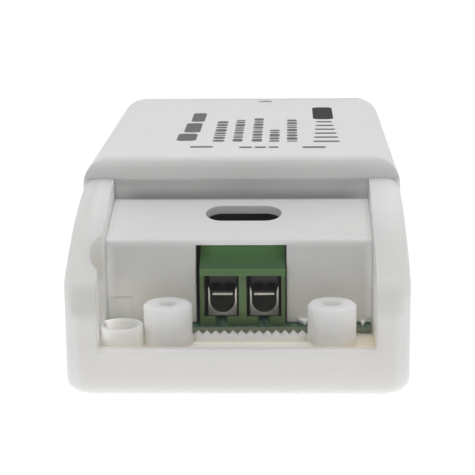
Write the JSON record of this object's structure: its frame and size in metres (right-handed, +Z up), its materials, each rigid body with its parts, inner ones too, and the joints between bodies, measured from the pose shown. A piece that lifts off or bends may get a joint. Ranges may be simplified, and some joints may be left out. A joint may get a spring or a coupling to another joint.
{
  "type": "in-line smart relay module",
  "caption": "White in-line relay box with a raised deck, a sloped screwdriver shelf and an open wiring bay showing a green two-pole screw terminal.",
  "frame": {"origin": "middle of the underside, on the surface the box lies on", "axes": "+Z up out of the deck, +Y along the box from the output end to the input end, +X across to the right seen from the output end"},
  "size_m": [0.0396, 0.0926, 0.0236],
  "materials": {
    "case_white": "satin moulded, slightly translucent",
    "cover_white": "satin moulded",
    "button_white": "satin moulded",
    "screw_steel": "zinc plated",
    "clamp_nickel": "nickel plated",
    "contact_tin": "tin plated",
    "terminal_green": "moulded, semi-matt",
    "board_green": "glass laminate with green mask",
    "relay_black": "moulded",
    "bobbin_cream": "moulded",
    "copper_wire": "enamelled winding",
    "soft_iron": "nickel flash",
    "contact_alloy": "bare",
    "ferrite": "sintered",
    "winding_tape": "polyester tape",
    "can_sleeve": "shrink sleeve",
    "resistor_paint": "lacquer",
    "disc_paint": "epoxy dip",
    "chip_black": "moulded epoxy",
    "radio_mask": "dark mask",
    "shield_tin": "tin plate",
    "led_resin": "clear resin"
  },
  "bodies": {
    "housing": {"bottom_case": "case_white", "top_cover": "cover_white", "input_end_cover": "cover_white", "cover_screws": "screw_steel", "output_contacts": "contact_tin", "input_contacts": "contact_tin", "output_terminal_housing": "terminal_green", "input_terminal_housing": "terminal_green", "circuit_board": "board_green", "relay_cover": "relay_black", "relay_base": "relay_black", "relay_bobbin": "bobbin_cream", "relay_coil": "copper_wire", "relay_core": "soft_iron", "relay_yoke": "soft_iron", "relay_fixed_contact": "contact_alloy", "transformer_core": "ferrite", "choke": "ferrite", "transformer_winding": "winding_tape", "main_capacitor": "can_sleeve", "output_capacitor": "can_sleeve", "fuse_resistor": "resistor_paint", "varistor": "disc_paint", "rectifier": "chip_black", "power_chip": "chip_black", "switch_base": "chip_black", "radio_board": "radio_mask", "radio_shield": "shield_tin", "switch_plate": "shield_tin", "status_led": "led_resin"},
    "output_screw_left": {"output_screw_left": "screw_steel"},
    "output_cage_left": {"output_cage_left": "clamp_nickel"},
    "output_screw_right": {"output_screw_right": "screw_steel"},
    "output_cage_right": {"output_cage_right": "clamp_nickel"},
    "input_screw_left": {"input_screw_left": "screw_steel"},
    "input_cage_left": {"input_cage_left": "clamp_nickel"},
    "input_screw_right": {"input_screw_right": "screw_steel"},
    "input_cage_right": {"input_cage_right": "clamp_nickel"},
    "armature": {"relay_armature": "soft_iron", "relay_blade": "contact_alloy"},
    "button": {"button_cap": "button_white", "switch_plunger": "chip_black"}
  },
  "joints": [
    {"name": "output_cage_left_rise", "type": "slide", "parent": "housing", "child": "output_cage_left", "axis": [0, 0, 1], "range_m": [0, 0.0014]},
    {"name": "output_screw_left_turn", "type": "hinge", "parent": "housing", "child": "output_screw_left", "pos_m": [-0.00214, -0.02804, 0.0135], "axis": [0, 0, -1], "range_deg": [0, 1125]},
    {"name": "output_cage_right_rise", "type": "slide", "parent": "housing", "child": "output_cage_right", "axis": [0, 0, 1], "range_m": [0, 0.0014]},
    {"name": "output_screw_right_turn", "type": "hinge", "parent": "housing", "child": "output_screw_right", "pos_m": [0.00294, -0.02804, 0.0135], "axis": [0, 0, -1], "range_deg": [0, 1125]},
    {"name": "input_cage_left_rise", "type": "slide", "parent": "housing", "child": "input_cage_left", "axis": [0, 0, 1], "range_m": [0, 0.0014]},
    {"name": "input_screw_left_turn", "type": "hinge", "parent": "housing", "child": "input_screw_left", "pos_m": [0.00214, 0.02804, 0.0135], "axis": [0, 0, -1], "range_deg": [0, 1125]},
    {"name": "input_cage_right_rise", "type": "slide", "parent": "housing", "child": "input_cage_right", "axis": [0, 0, 1], "range_m": [0, 0.0014]},
    {"name": "input_screw_right_turn", "type": "hinge", "parent": "housing", "child": "input_screw_right", "pos_m": [-0.00294, 0.02804, 0.0135], "axis": [0, 0, -1], "range_deg": [0, 1125]},
    {"name": "armature_pull", "type": "hinge", "parent": "housing", "child": "armature", "pos_m": [-0.0066, -0.01864, 0.01733], "axis": [-1, 0, 0], "range_deg": [0, 4], "stiffness_Nm_per_rad": 0.01, "springref_deg": -5.73},
    {"name": "button_press", "type": "slide", "parent": "housing", "child": "button", "axis": [0, 0, -1], "range_m": [0, 0.0003], "stiffness_N_per_m": 3000, "springref_m": -0.0001}
  ],
  "couplings": [
    {"joint": "output_screw_left_turn", "follows": "output_cage_left_rise", "rad_per_m": 13962},
    {"joint": "output_screw_right_turn", "follows": "output_cage_right_rise", "rad_per_m": 13962},
    {"joint": "input_screw_left_turn", "follows": "input_cage_left_rise", "rad_per_m": 13962},
    {"joint": "input_screw_right_turn", "follows": "input_cage_right_rise", "rad_per_m": 13962}
  ]
}
